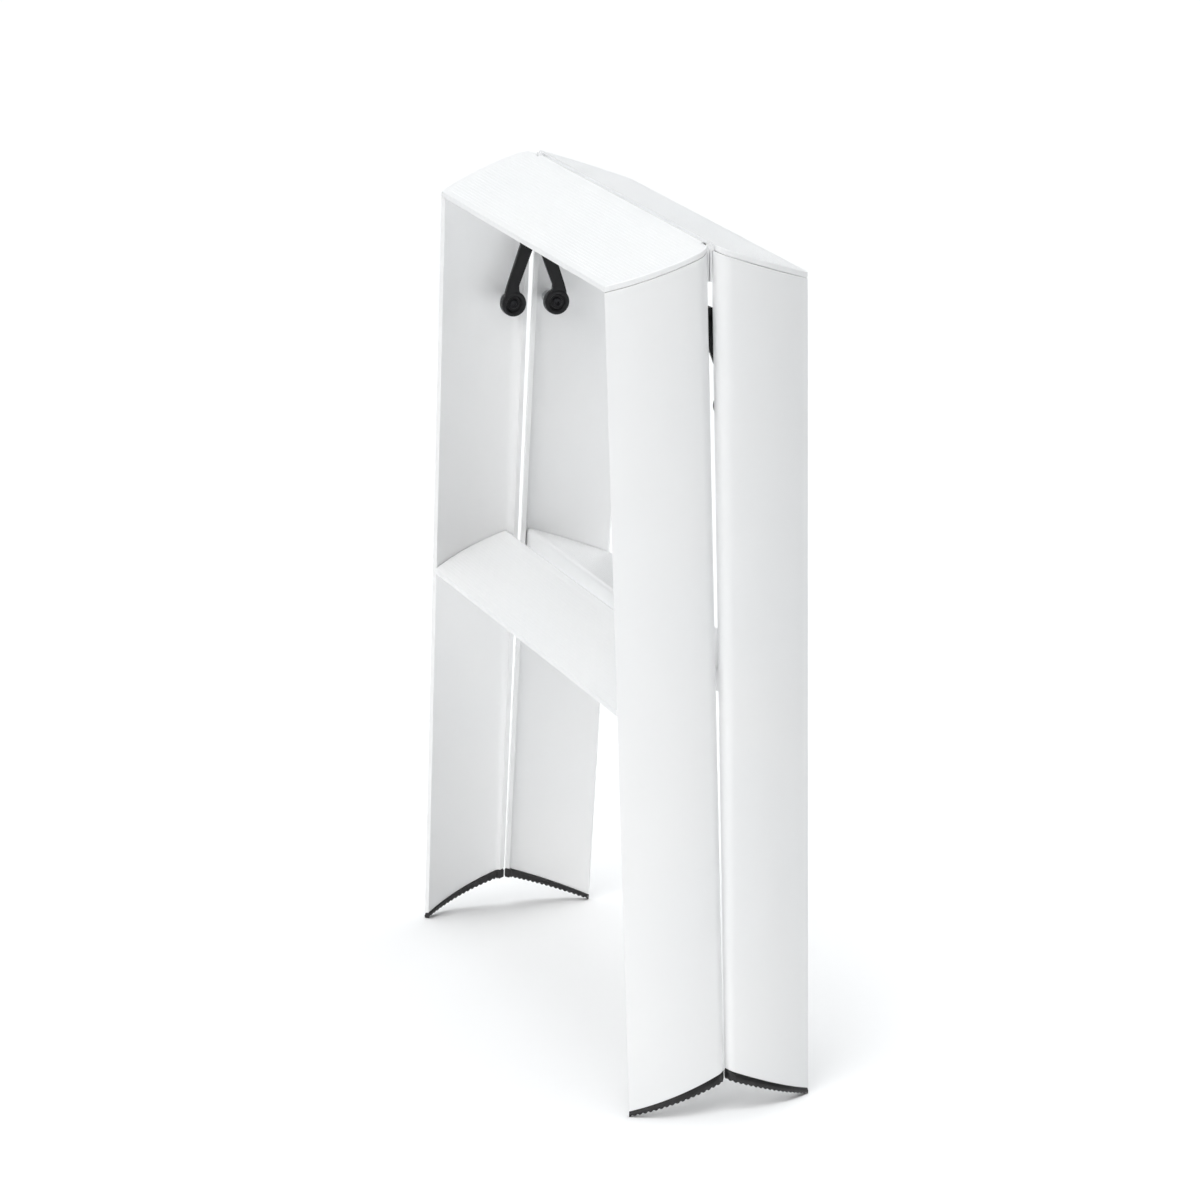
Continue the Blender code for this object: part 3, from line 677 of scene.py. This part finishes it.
def add_arm(node, side, end, frame_body):
    """Bar and boss ring of one stay arm, with its bolt, spacer and half of the rivet."""
    outboard = FRONT_ARM_X if end < 0 else FRONT_ARM_X - ARM_PLATE - FIT
    inboard = outboard - ARM_PLATE
    out = Vector((side, 0, 0))
    face = Vector((inboard * side, PIVOT_Y * end, PIVOT_Z))
    depth = ARM_PLATE + BOSS_DEPTH
    bar = prism(bar_outline(end), (inboard + BAR_SUNK) * side, outboard * side)
    add_piece(node + "_bar", *bar, node, "black_nylon", 0.0006, [node])
    rim = BOSS_RADIUS
    ring = [(BORE_RADIUS, CUP_DEPTH), (CUP_RADIUS - 0.0004, CUP_DEPTH), (CUP_RADIUS, 0.0012),
            (CUP_RADIUS + 0.0001, 0.0007), (CUP_RADIUS + 0.0004, 0.0003),
            (CUP_RADIUS + 0.0009, 0.0), (rim - 0.0009, 0.0), (rim - 0.0004, 0.0002),
            (rim - 0.0001, 0.0005), (rim, 0.0009), (rim, depth - 0.0006),
            (rim - 0.0003, depth - 0.0001), (rim - 0.0008, depth),
            (BORE_RADIUS, depth)]
    points, faces = round_body(ring + [ring[0]], face, out, BOSS_STEPS)
    add_piece(node + "_boss", points, faces[:-2], node, "black_nylon")
    add_bolt(node + "_bolt", face, out, inboard, frame_body)
    add_spacer(node + "_spacer", side, end, inboard + depth, frame_body)
    centre = Vector((inboard * side, 0.0, CENTRE_Z))
    points, faces = round_body(RIVET_WITH_HEAD if end > 0 else RIVET, centre, out)
    add_piece(node + "_rivet_half", points, faces, node, "steel", 0.0, [node + "_rivet"])


def add_bolt(node, face, out, inboard, body):
    """Pivot bolt: a low head with a hexagon socket, sunk in the cup."""
    wall = leg_x(PIVOT_Y, PIVOT_Z, LEG_PLATE)
    shank = (BOLT_RADIUS, wall + BOLT_INTO_LEG - inboard)
    add_piece(node + "_body", *round_body((*BOLT, shank), face, out), body, "steel", 0.0, [node])


def add_spacer(node, side, end, face_x, body):
    """Tube between the boss and the leg, its outboard end cut to the leg's surface."""
    loops = []
    for radius, at_leg in ((BORE_RADIUS, True), (SPACER_RADIUS, True), (SPACER_RADIUS, False),
                           (BORE_RADIUS, False), (BORE_RADIUS, True)):
        loop = []
        for index in range(ROUND_STEPS):
            turn = 2 * pi * index / ROUND_STEPS
            y = PIVOT_Y + radius * cos(turn)
            z = PIVOT_Z + radius * sin(turn)
            x = leg_x(y, z, LEG_PLATE + FIT) if at_leg else face_x + FIT
            loop.append((x * side, y * end, z))
        loops.append(loop)
    points, faces = skin(loops, closed_ends=False)
    add_piece(node + "_tube", points, faces, body, "bare_aluminium", 0.0, [node])


# Floor, light and camera


def add_floor():
    mesh = bpy.data.meshes.new("floor")
    reach = FLOOR_REACH
    mesh.from_pydata([(-reach, -reach, 0.0), (reach, -reach, 0.0), (reach, reach, 0.0),
                      (-reach, reach, 0.0)], [], [(0, 1, 2, 3)])
    paint = new_finish("pale_floor", (FLOOR_TONE, FLOOR_TONE, FLOOR_TONE), 0.85)
    mesh.materials.append(paint)
    floor = bpy.data.objects.new("floor", mesh)
    bpy.context.scene.collection.objects.link(floor)


def add_studio():
    """A dome that brightens overhead, a broad key from the front and a fill behind."""
    world = bpy.data.worlds.new("studio")
    bpy.context.scene.world = world
    world.use_nodes = True
    nodes, links = world.node_tree.nodes, world.node_tree.links
    place = nodes.new("ShaderNodeTexCoord")
    parts = nodes.new("ShaderNodeSeparateXYZ")
    focus = nodes.new("ShaderNodeMath")
    focus.operation = "POWER"
    focus.use_clamp = True
    focus.inputs[1].default_value = SKY_FOCUS
    level = nodes.new("ShaderNodeMapRange")
    level.inputs["To Min"].default_value = SKY_HORIZON
    level.inputs["To Max"].default_value = SKY
    links.new(place.outputs["Generated"], parts.inputs["Vector"])
    links.new(parts.outputs["Z"], focus.inputs[0])
    links.new(focus.outputs["Value"], level.inputs["Value"])
    sky = nodes["Background"]
    sky.inputs["Color"].default_value = SKY_COLOUR
    links.new(level.outputs["Result"], sky.inputs["Strength"])
    lamp = bpy.data.lights.new("key", "SUN")
    lamp.energy = KEY
    lamp.angle = KEY_SPREAD
    lamp.color = KEY_COLOUR
    light = bpy.data.objects.new("key", lamp)
    bpy.context.scene.collection.objects.link(light)
    towards = Vector((cos(KEY_AZIMUTH) * cos(KEY_RISE), -sin(KEY_AZIMUTH) * cos(KEY_RISE),
                      sin(KEY_RISE)))
    light.rotation_mode = "QUATERNION"
    light.rotation_quaternion = towards.to_track_quat("Z", "Y")
    lamp = bpy.data.lights.new("fill", "AREA")
    lamp.shape = "DISK"
    lamp.size = FILL_SIZE
    lamp.energy = FILL
    fill = bpy.data.objects.new("fill", lamp)
    bpy.context.scene.collection.objects.link(fill)
    fill.location = FILL_PLACE
    fill.rotation_mode = "QUATERNION"
    fill.rotation_quaternion = Vector(FILL_BACK).to_track_quat("Z", "Y")


def add_camera():
    """From the right, a little to the front, and above."""
    data = bpy.data.cameras.new("camera")
    camera = bpy.data.objects.new("camera", data)
    bpy.context.scene.collection.objects.link(camera)
    data.sensor_width = SENSOR
    data.lens = LENS
    data.shift_x = SHIFT
    data.clip_start, data.clip_end = CLIP

    def back_from(azimuth, elevation):
        return Vector((sin(azimuth) * cos(elevation), -cos(azimuth) * cos(elevation),
                       sin(elevation)))

    place = Vector(CAMERA_CENTRE)
    place += back_from(CAMERA_AZIMUTH, CAMERA_ELEVATION) * CAMERA_DISTANCE
    azimuth, roll = CAMERA_AZIMUTH + CAMERA_PAN, CAMERA_ROLL
    back = back_from(azimuth, CAMERA_ELEVATION + CAMERA_PITCH)
    right = Vector((cos(azimuth), sin(azimuth), 0.0))
    up = back.cross(right)
    turn = Matrix((right * cos(roll) - up * sin(roll), right * sin(roll) + up * cos(roll), back))
    camera.matrix_world = Matrix.Translation(place) @ turn.transposed().to_4x4()
    bpy.context.scene.camera = camera


def add_frame(place, end):
    body = place + "_frame"
    add_tread(place + "_tread", end, body)
    add_step(place + "_step", end, body)
    add_grip(place + "_tread_grip", end, HEIGHT, *TREAD_GRIP_Y, 0.0, body)
    add_grip(place + "_step_grip", end, STEP_RISE, *STEP_GRIP_Y, LEG_PLATE, body)
    for hand, side in (("left", -1), ("right", 1)):
        add_leg(f"{place}_{hand}_leg", side, end, body)
        add_foot(f"{place}_{hand}_foot", side, end, body)
        for label, height in (("tread", TREAD_UNDERSIDE), ("step", STEP_UNDERSIDE)):
            add_bracket(f"{place}_{hand}_{label}_bracket", side, end, height, body)
        add_arm(f"{hand}_{place}_arm", side, end, body)
    add_hinge(place, end, body)


bpy.context.scene.view_settings.view_transform = "Standard"
add_camera()
add_floor()
add_studio()
add_frame("front", -1)
add_frame("rear", 1)
add_hinge_pin("front_frame")
